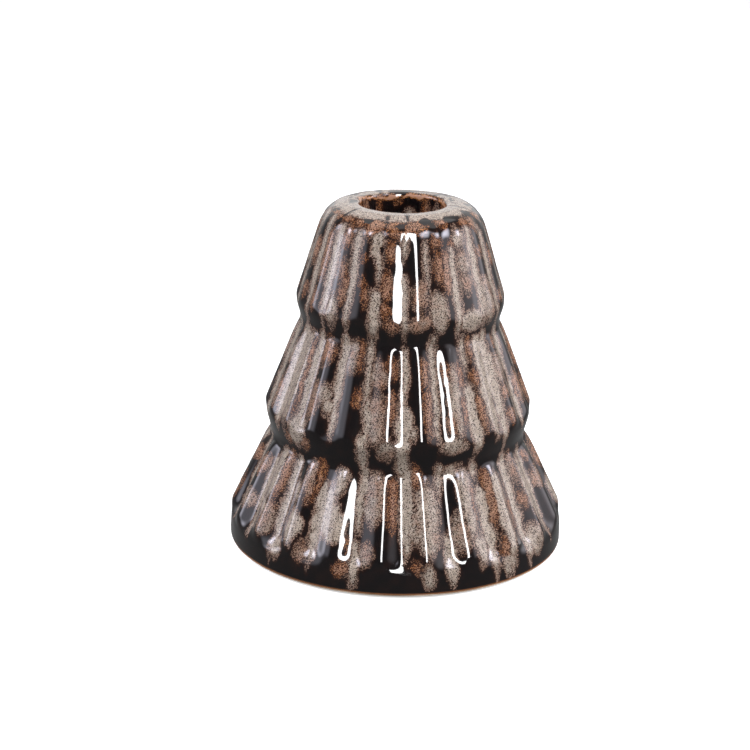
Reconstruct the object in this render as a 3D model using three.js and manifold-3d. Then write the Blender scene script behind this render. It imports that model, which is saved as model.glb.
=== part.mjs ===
// Glazed stoneware holder for one taper candle, shaped as a tree of three fluted skirts.
// Millimetres, +Z up. The origin is on the table, on the vertical axis, under the felt pads.
//
// The clay pieces are drawn from the foot ring's own plane and then lifted by FOOT_CLEARANCE,
// the small height at which the felt pads hold the foot ring off the table.

import * as THREE from 'three';
import { mergeVertices } from 'three/addons/utils/BufferGeometryUtils.js';
import Module from 'manifold-3d';

// Whole object
const BODY_HEIGHT = 93;
const FOOT_CLEARANCE = 0.5;
const LUTE_GAP = 0.3; // joint between two clay pieces
const GLUE_GAP = 0.1; // adhesive film on a felt pad

// Outer shell
const FOOT_RADIUS = 43.3;
const TOE_RADIUS = 45.5;
const TOE_HEIGHT = 1.3;
const TOE_ROUNDING = 0.8;
const WALL = 4.5;

// Each skirt runs from its lip, the widest place, up to where it meets the next one.
// Heights are above the foot plane and radii are to the middle of the flutes. A depth is half the
// ridge-to-groove depth of the flutes, as a share of the radius.
const SKIRTS = [
  { lipRadius: 45.3, lipHeight: 6.5, lipDepth: 0.0252, topRadius: 34.3, topHeight: 30.4, topDepth: 0.0208 },
  { lipRadius: 36.0, lipHeight: 37.0, lipDepth: 0.0172, topRadius: 26.5, topHeight: 61.9, topDepth: 0.0168 },
  { lipRadius: 28.0, lipHeight: 67.1, lipDepth: 0.0086, topRadius: 20.9, topHeight: 90.5, topDepth: 0.0086 },
];
const LIP_ROUNDING = 1.4;
const WAIST_ROUNDING = 1.2;
const SHOULDER_ROUNDING = 2.6;
const CURVE_STEPS = 2; // straight steps in each rounded corner

// Flutes
const FLUTE_COUNT = 22;
const FIRST_GROOVE = THREE.MathUtils.degToRad(2.1); // turned from -Y towards +X
const STEPS_PER_FLUTE = 6;
const FLUTE_START = 3.2; // height over which the flutes grow in below a waist
const FLUTE_END = 4; // height over which they die out at a lip
const FLUTE_OVERHANG = 0.8; // how far below the lip they end

// Rim, and the cup that is luted into it and holds the candle
const RIM_EDGE_RADIUS = 17.8;
const RIM_EDGE_DROP = 0.6;
const RIM_THICKNESS = 4.5;
const SOCKET_RADIUS = 11.4;
const SOCKET_EDGE_ROUNDING = 1.1;
const SOCKET_DEPTH = 23;
const CUP_WALL = 3.4;
const CUP_FLOOR = 3.5;
const CUP_OUTER_ROUNDING = 3;
const CUP_INNER_ROUNDING = 1.2;

// Base disc and pads
const FOOT_RING_INNER_RADIUS = 39.5;
const LEDGE_WIDTH = 1.5;
const DISC_RECESS = 1;
const DISC_THICKNESS = 3.5;
const DRAIN_RADIUS = 5;
const DRAIN_EDGE_BEVEL = 0.4;
const PAD_COUNT = 4;
const PAD_RADIUS = 6;
const PAD_CIRCLE_RADIUS = 29;

const CUP_RADIUS = SOCKET_RADIUS + CUP_WALL;
const CUP_OPENING_RADIUS = CUP_RADIUS + LUTE_GAP;
const LEDGE_RADIUS = FOOT_RING_INNER_RADIUS - LEDGE_WIDTH;
const LEDGE_HEIGHT = DISC_RECESS + DISC_THICKNESS + LUTE_GAP;

const ROUND_SEGMENTS = 48; // segments around the unfluted pieces
const CUT_MARGIN = 1; // how far a cut runs past the face that it opens
const MERGE_DISTANCE = 1e-4;

const wasm = await Module();
wasm.setup();

const glaze = new THREE.MeshStandardMaterial({ color: 0x5b4a42, roughness: 0.12, metalness: 0 });
const innerGlaze = new THREE.MeshStandardMaterial({ color: 0x3a2a24, roughness: 0.18, metalness: 0 });
const bareClay = new THREE.MeshStandardMaterial({ color: 0xd9c8ac, roughness: 0.85, metalness: 0 });
const felt = new THREE.MeshStandardMaterial({ color: 0x4a3d33, roughness: 1, metalness: 0 });

const at = (radius, height) => new THREE.Vector2(radius, height);

const smooth = (share) => THREE.MathUtils.smoothstep(share, 0, 1);

// A path through the corners, where a corner with a rounding is a curve instead of a point.
function roundedOutline(corners) {
  const path = new THREE.Path();
  path.moveTo(corners[0].point.x, corners[0].point.y);
  for (let i = 1; i < corners.length - 1; i += 1) {
    const { point, rounding = 0 } = corners[i];
    if (rounding === 0) {
      path.lineTo(point.x, point.y);
      continue;
    }
    const before = corners[i - 1].point.clone().sub(point).setLength(rounding).add(point);
    const after = corners[i + 1].point.clone().sub(point).setLength(rounding).add(point);
    path.lineTo(before.x, before.y);
    path.quadraticCurveTo(point.x, point.y, after.x, after.y);
  }
  const last = corners[corners.length - 1].point;
  path.lineTo(last.x, last.y);
  return path.getPoints(CURVE_STEPS);
}

// A closed outline turned about the vertical axis. Angle zero faces -Y.
function turned(outline, segments, startAngle = 0) {
  const geometry = new THREE.LatheGeometry(outline, segments, startAngle, 2 * Math.PI);
  geometry.rotateX(Math.PI / 2);
  return geometry;
}

function skirtCorners(skirt, topRounding) {
  const lip = at(skirt.lipRadius, skirt.lipHeight);
  const top = at(skirt.topRadius, skirt.topHeight);
  const flank = skirt.topHeight - skirt.lipHeight;
  return [
    { point: lip, rounding: LIP_ROUNDING },
    { point: lip.clone().lerp(top, (FLUTE_END - FLUTE_OVERHANG) / flank) },
    { point: top.clone().lerp(lip, FLUTE_START / flank) },
    { point: top, rounding: topRounding },
  ];
}

// Half the flute depth at a height: full on a skirt's flank, none under its lip.
function fluteDepth(radius, height) {
  const skirt = SKIRTS.find(({ topHeight }) => height < topHeight);
  if (!skirt) return 0;
  const growing = smooth((skirt.topHeight - height) / FLUTE_START);
  const aboveLip = height - skirt.lipHeight;
  const dying = smooth((aboveLip + FLUTE_OVERHANG) / FLUTE_END);
  const rise = aboveLip / (skirt.topHeight - skirt.lipHeight);
  return THREE.MathUtils.lerp(skirt.lipDepth, skirt.topDepth, rise) * radius * growing * dying;
}

function carveFlutes(geometry) {
  const position = geometry.attributes.position;
  for (let i = 0; i < position.count; i += 1) {
    const x = position.getX(i);
    const y = position.getY(i);
    const radius = Math.hypot(x, y);
    if (radius === 0) continue;
    const angle = Math.atan2(x, -y) - FIRST_GROOVE;
    const depth = fluteDepth(radius, position.getZ(i)) * Math.cos(FLUTE_COUNT * angle);
    const share = (radius - depth) / radius;
    position.setXY(i, x * share, y * share);
  }
}

// The outside of the body as if it were solid clay.
function bodyOutside() {
  const outline = roundedOutline([
    { point: at(0, 0) },
    { point: at(FOOT_RADIUS, 0) },
    { point: at(TOE_RADIUS, TOE_HEIGHT), rounding: TOE_ROUNDING },
    ...SKIRTS.slice(0, -1).flatMap((skirt) => skirtCorners(skirt, WAIST_ROUNDING)),
    ...skirtCorners(SKIRTS[SKIRTS.length - 1], SHOULDER_ROUNDING),
    { point: at(RIM_EDGE_RADIUS, BODY_HEIGHT - RIM_EDGE_DROP) },
    { point: at(CUP_OPENING_RADIUS, BODY_HEIGHT) },
    { point: at(0, BODY_HEIGHT) },
  ]);
  const geometry = turned(outline, FLUTE_COUNT * STEPS_PER_FLUTE, FIRST_GROOVE);
  carveFlutes(geometry);
  return geometry;
}

// The space inside the body: the disc's seat, the hollow behind the skirts and the cup's opening.
function bodyHollow() {
  const underside = BODY_HEIGHT - RIM_THICKNESS;
  const [low, middle, high] = SKIRTS;
  const outline = roundedOutline([
    { point: at(0, -CUT_MARGIN) },
    { point: at(FOOT_RING_INNER_RADIUS, -CUT_MARGIN) },
    { point: at(FOOT_RING_INNER_RADIUS, LEDGE_HEIGHT) },
    { point: at(LEDGE_RADIUS, LEDGE_HEIGHT) },
    { point: at(LEDGE_RADIUS, low.lipHeight + WALL) },
    { point: at(low.topRadius - WALL, low.topHeight) },
    { point: at(low.topRadius - WALL, middle.lipHeight) },
    { point: at(middle.topRadius - WALL, middle.topHeight) },
    { point: at(middle.topRadius - WALL, high.lipHeight) },
    { point: at(high.topRadius - WALL, underside) },
    { point: at(CUP_OPENING_RADIUS, underside) },
    { point: at(CUP_OPENING_RADIUS, BODY_HEIGHT + CUT_MARGIN) },
    { point: at(0, BODY_HEIGHT + CUT_MARGIN) },
  ]);
  return turned(outline, ROUND_SEGMENTS);
}

// A closed geometry as a manifold solid, with the vertices that its faces share merged into one.
function solidOf(geometry) {
  const bare = new THREE.BufferGeometry();
  bare.setAttribute('position', geometry.attributes.position);
  bare.setIndex(geometry.index);
  const merged = mergeVertices(bare, MERGE_DISTANCE);
  const corner = merged.index.array;
  const triangles = [];
  for (let i = 0; i < corner.length; i += 3) {
    const [a, b, c] = corner.slice(i, i + 3);
    if (a !== b && b !== c && c !== a) triangles.push(a, b, c);
  }
  return new wasm.Manifold(new wasm.Mesh({
    numProp: 3,
    vertProperties: new Float32Array(merged.attributes.position.array),
    triVerts: new Uint32Array(triangles),
  }));
}

function geometryOf(solid) {
  const mesh = solid.getMesh();
  const geometry = new THREE.BufferGeometry();
  geometry.setAttribute('position', new THREE.BufferAttribute(mesh.vertProperties, mesh.numProp));
  geometry.setIndex(new THREE.BufferAttribute(mesh.triVerts, 1));
  geometry.computeVertexNormals();
  return geometry;
}

function flutedBody() {
  return geometryOf(solidOf(bodyOutside()).subtract(solidOf(bodyHollow())));
}

function candleCup() {
  const floor = BODY_HEIGHT - SOCKET_DEPTH;
  const outline = roundedOutline([
    { point: at(0, floor - CUP_FLOOR) },
    { point: at(CUP_RADIUS, floor - CUP_FLOOR), rounding: CUP_OUTER_ROUNDING },
    { point: at(CUP_RADIUS, BODY_HEIGHT) },
    { point: at(SOCKET_RADIUS, BODY_HEIGHT), rounding: SOCKET_EDGE_ROUNDING },
    { point: at(SOCKET_RADIUS, floor), rounding: CUP_INNER_ROUNDING },
    { point: at(0, floor) },
  ]);
  return turned(outline, ROUND_SEGMENTS);
}

function baseDisc() {
  const radius = FOOT_RING_INNER_RADIUS - LUTE_GAP;
  const bottom = DISC_RECESS;
  const top = DISC_RECESS + DISC_THICKNESS;
  const outline = roundedOutline([
    { point: at(DRAIN_RADIUS, bottom + DRAIN_EDGE_BEVEL) },
    { point: at(DRAIN_RADIUS + DRAIN_EDGE_BEVEL, bottom) },
    { point: at(radius, bottom) },
    { point: at(radius, top) },
    { point: at(DRAIN_RADIUS, top) },
    { point: at(DRAIN_RADIUS, bottom + DRAIN_EDGE_BEVEL) },
  ]);
  return turned(outline, ROUND_SEGMENTS);
}

function feltPad() {
  const thickness = FOOT_CLEARANCE + DISC_RECESS - GLUE_GAP;
  const geometry = new THREE.CylinderGeometry(PAD_RADIUS, PAD_RADIUS, thickness, ROUND_SEGMENTS / 2);
  geometry.rotateX(Math.PI / 2);
  geometry.translate(0, 0, thickness / 2);
  return geometry;
}

function piece(name, geometry, material) {
  const mesh = new THREE.Mesh(geometry, material);
  mesh.name = name;
  return mesh;
}

const clay = new THREE.Group();
clay.position.z = FOOT_CLEARANCE;
clay.add(piece('fluted_body', flutedBody(), glaze));
clay.add(piece('candle_cup', candleCup(), innerGlaze));
clay.add(piece('base_disc', baseDisc(), bareClay));

const holder = new THREE.Group();
holder.add(clay);
for (let i = 0; i < PAD_COUNT; i += 1) {
  const pad = piece(`felt_pad_${i + 1}`, feltPad(), felt);
  const angle = ((i + 0.5) / PAD_COUNT) * 2 * Math.PI;
  pad.position.set(PAD_CIRCLE_RADIUS * Math.cos(angle), PAD_CIRCLE_RADIUS * Math.sin(angle), 0);
  holder.add(pad);
}

export default holder;
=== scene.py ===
"""Looks of a glazed stoneware taper-candle holder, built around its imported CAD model.

The holder is a tree of three fluted skirts. A dark glossy glaze covers it, and a second, taupe glaze has
run down the flutes over it in speckled streams and blots. Blender works in metres. The outlines below are
in millimetres above the foot ring's plane, as in the CAD model, and a mesh lifts and scales them.
"""

import math
import random

import bpy
import numpy as np
from mathutils import Matrix, Vector, noise


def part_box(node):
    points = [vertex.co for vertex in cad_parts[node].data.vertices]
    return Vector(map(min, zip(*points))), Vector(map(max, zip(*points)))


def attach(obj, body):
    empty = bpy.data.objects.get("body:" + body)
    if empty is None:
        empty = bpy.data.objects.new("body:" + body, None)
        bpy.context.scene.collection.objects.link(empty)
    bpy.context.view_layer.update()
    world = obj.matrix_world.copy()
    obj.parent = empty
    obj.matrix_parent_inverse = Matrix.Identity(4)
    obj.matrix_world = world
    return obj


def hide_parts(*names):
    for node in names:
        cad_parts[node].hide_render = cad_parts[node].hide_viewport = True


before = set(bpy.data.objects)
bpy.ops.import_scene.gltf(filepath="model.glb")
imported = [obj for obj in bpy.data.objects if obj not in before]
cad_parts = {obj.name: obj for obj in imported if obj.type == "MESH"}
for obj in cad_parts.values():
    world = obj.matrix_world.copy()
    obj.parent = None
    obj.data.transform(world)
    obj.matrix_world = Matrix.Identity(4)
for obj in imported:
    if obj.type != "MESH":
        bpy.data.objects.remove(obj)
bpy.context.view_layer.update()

MM = 0.001

# Outline, in millimetres above the foot ring's plane
BODY_HEIGHT = 93.0
FOOT_RADIUS = 44.5
FOOT_ROUNDING = 0.4
TOE_RADIUS = 45.5
TOE_HEIGHT = 1.7  # the toe is upright from the glaze's edge to here
TOE_BEVEL_INSET = 0.25  # under it the clay is bevelled towards the foot, in two steps
TOE_BEVEL_HEIGHT = 0.2
TOE_BEVEL_ROUNDING = 0.15
SKIRTS = (  # lip radius, lip height, top radius, top height
    (45.3, 6.5, 34.3, 30.4),
    (36.0, 37.0, 26.5, 61.9),
    (28.0, 67.1, 20.9, 90.5),
)
FLUTE_DEPTH_RATIOS = (  # half a flute's depth over the radius, at the lip and at the top, by skirt
    (0.0272, 0.0208),
    (0.0172, 0.0168),
    (0.0086, 0.0086),
)
LIP_ROUNDING = 1.6
WAIST_ROUNDING = 1.6
SHOULDER_ROUNDING = 3.1
RIM_EDGE_RADIUS = 17.8
RIM_EDGE_DROP = 0.6
RIM_EDGE_ROUNDING = 0.5
RIM_THICKNESS = 4.5
CUP_SEAM_RADIUS = 14.95  # where the cup meets the body on the rim
CUP_SEAM_GAP = 0.02
CUP_SEAM_DEPTH = 0.1  # below the rim, where the cup's bare clay starts
CUP_FLARE_DEPTH = 0.6  # below the rim, where its wall starts to flare towards the seam
BODY_SEAM_DEPTH = 0.4  # below the rim, where the body's bare clay starts
SOCKET_RADIUS = 11.4
SOCKET_EDGE_ROUNDING = 1.1
SOCKET_DEPTH = 23.0
SOCKET_FLOOR_ROUNDING = 1.2
CUP_RADIUS = 14.8
CUP_FLOOR = 3.5
CUP_OUTER_ROUNDING = 3.0
AXIS_GAP = 0.6  # outlines stop this far from the axis, where a fan of triangles closes them
WALL = 4.5
FOOT_RING_INNER_RADIUS = 39.5
FOOT_RING_STRAIGHT = 0.5  # the foot ring's inside is upright down to this height
LEDGE_RADIUS = 38.0
FOOT_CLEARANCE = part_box("fluted_body")[0].z / MM

# Base disc
DISC_RECESS = 1.0
DISC_THICKNESS = 3.5
DISC_GAP = 0.03  # between the disc and the foot ring
DRAIN_RADIUS = 5.0
DRAIN_EDGE_HEIGHT = 1.6  # the finely meshed part of its wall
DRAIN_EDGE_ROUNDING = 0.9
BEAD_WIDTH = 1.3  # the bead of slip at the disc's edge
BEAD_CREST = 0.2  # its lowest line, in from the edge
BEAD_HEIGHT = 0.35
BEAD_ROOT_ROUNDING = 0.6
BEAD_CREST_ROUNDING = 0.4
BEAD_RISE = 0.4  # where it meets the foot ring, above the underside
RING_SPACING = 1.9  # the turning rings
RING_HEIGHT = 0.035
RING_MARGIN = 1.5  # bare of rings at the disc's edge
RING_LEVEL = 0.05  # and wherever the surface is higher than this above the underside

# Felt pads
PAD_ROUNDING = 0.35
PAD_DRAFT = 0.1  # a pad's top is this much smaller in radius than its foot
PAD_SEGMENTS = 96
PAD_ROW = 0.3
FUZZ_SIZE = 0.5
FUZZ_SEED = 20
FRAY = 0.012  # share of the radius by which the fibres stand out
FRAY_WIDTH = 1.0  # within this distance of the edge
PILE = 0.05  # how much the fibres shorten the pad
PILE_HEIGHTS = (0.02, 0.3)  # above its foot, more and more between these heights

# Flutes
FLUTES = 22
FLUTE_PITCH = 360 / FLUTES
FIRST_GROOVE = 2.1  # degrees from the front, turned to the right
FLUTE_TWIST = 1.2  # degrees that the flutes turn to the left from the foot to the rim
FLUTE_SHIFT = 0.4  # degrees from the glaze's streams to the flutes at mid height, to the right
FLUTE_START = 1.8  # the flutes deepen over this height below a skirt's top
FLUTE_ENDS = (4.4, 3.0, 3.0)  # and fade over this height above its lip, by skirt
FLUTE_OVERHANG = 0.8  # from this far below it
SHOULDER_FLUTES = 0.5  # the top skirt's flutes run on this far above its top, over the shoulder
CREST_ROUNDING = 6.0  # a ridge's crest rounds off over this height below its skirt's top
SHALLOW_SHARE = 0.40  # the flutes at the front of the top skirt are shallower by this share
SHALLOW_HEIGHTS = (72.0, 88.0)  # more and more between these heights
SHALLOW_WIDTH = 14.0  # and within about this angle, in degrees, of the first groove

# Mesh fineness
SEGMENTS = FLUTES * 26
GLAZED_ROW = 0.55
DISC_ROW = 0.45
CORNER_STEPS = 6
FOOT_CORNER_STEPS = 4

# Glaze
GLAZE_EDGE = 0.65  # height of the bare foot under the glaze
GLAZE_LIP = 0.04  # how far the glaze stands out over the clay there
GLAZE_LIP_HEIGHT = 0.02
GLAZE_LINE_WIDTH = 0.22  # of the thin brown glaze at its edge
RUN_EDGE = 0.5  # thickness of the taupe at a run's edge, where the thickest is 1
RUN_PEAK = 0.92  # and at the middle of a pale run
WARM_LOSS = 0.18  # how much less that is in a rust one
EDGE_OUT = 0.6  # the thickness rises from this far outside a run's edge
EDGE_IN = 1.3  # to this far inside it
EDGE_FADE = 1.5  # and falls to 0 over this distance farther out
WARMTH_SHARPNESS = 12.0  # how far the thickest run alone gives a place its warmth
JOINT_RISE = 0.12  # two runs meet where the thinner one is more than this above its edge
JOINT_DEPTH = 0.42  # how much thinner the taupe is where two runs meet
JOINT_WIDTH = 0.10  # while their thicknesses differ by less than this
BLOT_END = 0.62  # a blot's width at its ends as a share of its width at the middle
STREAM_TOP = 0.80  # the same for the top of a stream
STREAM_TIP = 0.22  # and for its tip
STREAM_SLENDERNESS = 7.0  # height over width of a full stream, where a round blot has 1
RUN_RELIEF = 0.05  # how far a run of the taupe glaze stands proud
RELIEF_THICKNESSES = (0.3, 0.9)  # more and more between these thicknesses
TOP_START = 91.0  # heights above it follow the surface over the rim and into the socket
RIM_TAUPE_START = (92.0, 93.2)  # the rim's taupe grows in between these heights
RIM_TAUPE_END = (98.7, 99.9)  # and dies out between these
RIM_TAUPE = 0.75
COPPER_HEIGHT = 99.9  # the socket's edge
COPPER_WIDTH = 0.80
COPPER_THICKNESS = 0.88
COPPER_WARMTH = 1.5
GAP_EDGE = 0.8  # softness in mm of the edges of the bare spots on the rim

# Noise that the runs' edges, and the surface, wander by: amount, size of its bumps in mm, seed
SIDEWAYS_WANDER = ((0.05, 4.5, 1), (0.03, 1.4, 2))  # amounts in flutes
UPRIGHT_WANDER = ((0.8, 5.0, 3), (0.45, 1.5, 4))  # in mm
SURFACE_WANDER = ((0.03, 9.0, 5),)
JOINT_WANDER = ((1.0, 3.0, 6),)
JOINT_SHOWS = (-0.4, 0.6)  # the joints show more and more between these values of it
NOISE_GAIN = 1.6  # brings Blender's noise to about -1 to 1
SEED_STEPS = (17.3, 5.1, 9.7)  # each seed's noise lies this far from the last one's

# Streams and blots on the flutes behind, drawn at random between these limits
GROOVE_STARTS = (-1.5, 4)  # below the skirt's top
GROOVE_ENDS = (-8.5, 6)  # above its lip
LOWEST_END = 2.5  # above the foot
GROOVE_WIDTHS = (0.09, 0.18)  # half widths, in flutes
GROOVE_PLACES = (-0.05, 0.08)  # from the groove's middle, in flutes
GROOVE_WARMTHS = (0, 0.2)
TONGUE_HEIGHT = 9.0  # a stream ends in a tongue this high
TONGUE_BARE = 5.0  # and stops itself this far above the tongue's end
TONGUE_PLACES = (-0.04, 0.04)
TONGUE_WIDTHS = (0.5, 1.1)  # as shares of the stream's
TONGUE_WARMTH = 0.1
RIDGE_STARTS = (-1, 1)  # above the skirt's top
RIDGE_BARE = 3.0  # no blot starts less than this above its lip
BLOT_HEIGHTS = (3.5, 11)
BLOT_GAPS = (0.5, 3.5)
BLOT_CHANCE = 0.92
BLOT_PLACES = (-0.2, 0.2)
BLOT_WIDTHS = (0.15, 0.36)
BLOT_WARMTHS = (0.1, 1)
SEED = 7

# Runs and blots of the taupe glaze on the front: flute (0 is the first groove, 0.5 the ridge to its
# right), top, bottom, half width in flutes, warmth from 0, pale taupe, to 1, rust. Beyond is clean copper.
FRONT_RUNS = (
    # top skirt
    (-4.9, 92, 65.2, .25, .0), (-4.4, 85, 79, .35, .8), (-3.9, 92, 65.2, .2, .1), (-4.4, 73, 70, .2, .8),
    (-3.5, 88, 76, .3, .75), (-3.6, 73, 68, .15, .7), (-3.0, 90, 65.2, .2, .05), (-2.5, 90, 85, .3, .8),
    (-2.45, 82, 77, .2, .7), (-2.25, 78, 71, .2, .85), (-2.6, 73, 65.2, .22, .3),
    (-1.97, 90, 64.2, .15, .1), (-1.6, 83.5, 81.8, .1, 1), (-1.55, 78.2, 76.4, .15, 1),
    (-1.35, 76, 71.5, .13, .9), (-1.5, 91.5, 88, .35, .9), (-1.1, 90, 83, .26, .1),
    (-0.98, 86, 78.5, .13, .1), (-0.55, 87, 83.5, .22, .9), (-0.65, 80.5, 73.5, .25, .8),
    (-0.65, 73, 70, .16, .9), (-1.0, 76, 64.2, .2, .15), (-0.4, 69, 65.2, .27, .7), (0.0, 90, 84, .12, .25),
    (0.02, 80, 64.2, .12, .15), (-0.2, 92, 88.5, .6, .95), (0.85, 88, 75, .11, .35), (0.6, 78, 71, .3, .6),
    (0.5, 69.5, 65.2, .5, .6), (1.3, 89, 86, .2, .95), (1.35, 84, 78, .22, .8), (1.65, 84.5, 75, .24, .65),
    (1.2, 75, 65.2, .3, .35), (1.95, 86, 64.2, .15, .05), (2.05, 88, 86.3, .18, .95),
    (2.4, 90, 85.5, .3, .4), (2.5, 84.5, 79, .35, .5), (2.4, 79, 74, .3, .55), (2.5, 70, 64.2, .5, .25),
    (3.05, 90, 65.2, .16, .05), (3.5, 84, 81.5, .3, .85), (3.45, 77, 65.2, .4, .4), (3.7, 74, 70, .12, .8),
    (3.6, 91.5, 89, .3, .7), (4.0, 89, 65.2, .16, .05), (4.5, 83, 79, .3, .8), (4.5, 72, 69, .3, .7),
    (5.0, 88, 66.2, .15, .1), (5.5, 87, 78, .3, .8), (5.5, 75, 67, .3, .3),
    # middle skirt
    (-4.9, 63.2, 33, .33, .2), (-4.45, 48, 40, .3, .6), (-4.4, 57, 52, .2, .4), (-4.0, 63.2, 36, .3, .1),
    (-3.6, 62.2, 37, .24, .35), (-3.3, 60.5, 42, .15, .85), (-3.05, 62.7, 36, .15, .05),
    (-3.05, 42, 33, .3, .2), (-3.4, 35.5, 33, .2, .9), (-2.8, 36, 33, .2, .8), (-2.65, 62.2, 55, .3, .75),
    (-2.7, 50, 41, .18, .6), (-2.35, 50, 45.5, .25, .4), (-2.15, 47, 43, .2, .3),
    (-1.97, 63.2, 43, .17, .05), (-1.93, 46, 37.5, .09, .05), (-1.6, 62.2, 54, .25, .5),
    (-1.35, 62.2, 55, .12, 1), (-1.3, 50, 47, .12, 1), (-1.07, 63.7, 46, .08, .1), (-0.98, 49, 39, .11, .1),
    (-1.03, 40, 30, .14, .2), (-0.75, 57.5, 51, .28, .55), (-0.7, 50, 38, .27, .5), (-0.3, 58, 54, .1, .95),
    (-0.28, 50, 43, .1, .8), (0.05, 60, 44, .1, .1), (0.05, 47, 35, .2, .1), (0.0, 38, 29, .17, .2),
    (-0.4, 38.5, 34, .25, .5), (0.3, 42, 39, .1, .3), (0.68, 58, 51, .13, .75), (0.75, 52, 40.5, .13, .8),
    (0.98, 63.7, 38, .1, .1), (1.3, 57, 53, .13, .8), (1.35, 44, 40, .15, .7), (1.55, 56, 38, .2, .4),
    (1.4, 39, 34.5, .35, .4), (1.85, 56, 50, .12, .85), (1.8, 47, 42, .11, .9), (2.08, 51, 34.5, .18, .05),
    (2.1, 63.2, 55, .1, .1), (2.35, 62.2, 57, .15, .8), (2.35, 54, 50.3, .15, .9), (2.35, 48, 40, .17, .85),
    (2.75, 62.2, 37, .27, .15), (3.1, 63.2, 34, .19, .1), (2.95, 46, 41, .1, .7), (3.7, 60.5, 58, .2, .8),
    (3.5, 56, 49, .33, .45), (3.5, 48, 45.5, .2, .7), (3.45, 42, 39, .2, .8), (4.05, 63.2, 51, .14, .05),
    (4.1, 49, 37, .14, .1), (4.45, 50, 42, .3, .7), (5.0, 62.2, 44, .14, .1), (5.4, 61, 49, .25, .95),
    (5.5, 47, 37.5, .3, .7),
    # bottom skirt
    (-4.85, 31.2, 7, .2, .05), (-4.4, 26, 21, .33, .65), (-4.4, 17, 12, .33, .45),
    (-3.93, 27, 13, .14, .05), (-3.88, 15, 7, .07, .05), (-3.62, 30.2, 18, .24, .25),
    (-3.65, 18, 13, .19, .2), (-3.3, 30.2, 19, .18, .75), (-3.35, 17.5, 9, .22, .5),
    (-2.97, 30.2, 5.5, .12, .05), (-2.85, 9.5, 5, .13, .1), (-2.72, 24, 19, .14, .3),
    (-2.5, 18, 10, .22, .15), (-2.36, 30.2, 21, .17, .5), (-2.15, 30.5, 21.5, .11, 1),
    (-2.15, 10.5, 6, .18, .6), (-1.95, 26, 6.5, .13, .05), (-1.75, 26, 13, .17, .15),
    (-1.5, 21.5, 12, .25, .25), (-1.52, 30.2, 23.5, .16, .35), (-1.2, 8.5, 4.5, .19, .8),
    (-1.17, 14, 11, .08, 1), (-0.97, 31, 16, .12, .2), (-0.96, 13, 2.3, .11, .2),
    (-0.65, 30.2, 17.5, .27, .45), (-0.72, 13.5, 8, .14, .55), (-0.2, 28.5, 16, .12, .95),
    (0.12, 31, 10, .16, .15), (0.33, 31.2, 27, .2, .9), (0.33, 22, 13, .18, .4), (0.62, 28, 10.5, .3, .4),
    (0.57, 8, 2, .11, .15), (0.35, 9, 6.5, .1, .9), (1.06, 14, 2.3, .13, .2), (0.98, 32, 24, .09, .3),
    (1.3, 31, 28, .25, .4), (1.35, 20, 11, .2, .45), (1.62, 30.2, 14, .2, .35), (1.77, 14.5, 7, .17, .3),
    (1.8, 26, 18, .1, .8), (2.08, 25, 3, .13, .05), (2.02, 31, 27, .11, .1), (2.3, 28, 15, .17, .85),
    (2.4, 12, 7, .1, .9), (2.58, 28, 7, .18, .2), (2.88, 20, 14, .1, .8), (2.45, 8, 2, .2, .3),
    (3.07, 31, 4, .12, .05), (3.33, 30.2, 24, .17, .6), (3.35, 21, 17, .12, .8), (3.35, 12, 4.5, .25, .35),
    (3.72, 28.5, 12, .2, .15), (4.02, 30.2, 8, .11, .05), (4.3, 28, 26, .15, .8), (4.5, 24, 18, .36, .55),
    (5.0, 28, 9, .14, .1), (5.5, 29, 20, .25, .8), (5.5, 17, 9, .2, .3),
)
RIM_RUNS = (
    # rust patches on the shoulder
    (-3.9, 92.6, 90.6, .6, .9), (-3.0, 92.4, 90.6, .45, 1), (-2.2, 92.4, 90.4, .35, .95),
    (-1.3, 92.6, 90.0, .5, .9), (-0.35, 92.6, 89.5, .55, 1), (0.45, 92.6, 89.3, .6, 1),
    (1.75, 92.5, 90.6, .35, .95), (3.05, 92.3, 89.8, .25, .9), (3.75, 92.0, 88.5, .18, .7),
    (4.6, 92.4, 90.0, .3, .8), (-5.0, 92.4, 90.2, .4, .9),
    # taupe and rust runs down inside the socket
    (10.2, 116, 104, .8, .2), (8.8, 108, 101, .3, .8), (12.9, 114, 100, .22, 1), (14.6, 105, 101, .5, .7),
    (11.3, 102.5, 101, .3, .9), (7.6, 110, 102, .4, .5), (15.8, 104, 100, .6, .95), (6.4, 104, 100, .5, .8),
    (16.9, 112, 103, .4, .3), (2.0, 110, 103, .4, .5), (-1.5, 112, 103, .5, .3), (-4.0, 109, 102, .4, .8),
)
FRONT_EDGE = 5.3  # flutes to each side of the first groove that FRONT_RUNS covers

# Bare dark spots in the taupe on the rim, given in the same way without a warmth
RIM_GAPS = (
    (2.55, 94.0, 91.0, .55), (1.05, 93.4, 91.0, .35), (-1.85, 93.0, 91.2, .3), (3.9, 94.6, 91.0, .35),
    (10.9, 99.5, 96.0, 1.1), (9.3, 97.5, 96.6, .8), (12.4, 95.5, 93.5, .5), (7.3, 96.6, 96.0, 1.2),
    (6.0, 97.2, 96.7, .9), (-5.6, 98.6, 96.6, .6), (-6.6, 97.4, 96.9, 1.3), (5.5, 95.0, 93.0, .3),
    (-0.9, 95.6, 93.0, .12), (0.15, 97.6, 93.0, .10), (-3.3, 96.8, 92.6, .10), (4.6, 98.5, 94.0, .10),
    (8.2, 99.0, 94.0, .22), (12.6, 98.8, 94.4, .25), (14.2, 96.4, 93.0, .35), (10.0, 95.4, 93.2, .45),
)


def smoothstep(low, high, value):
    share = np.clip((value - low) / (high - low), 0, 1)
    return share * share * (3 - 2 * share)


def bell(value, middle, width):
    """1 at the middle, falling smoothly to about a third at the width to each side."""
    return np.exp(-((value - middle) / width) ** 2)


# ---------------- outlines

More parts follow.
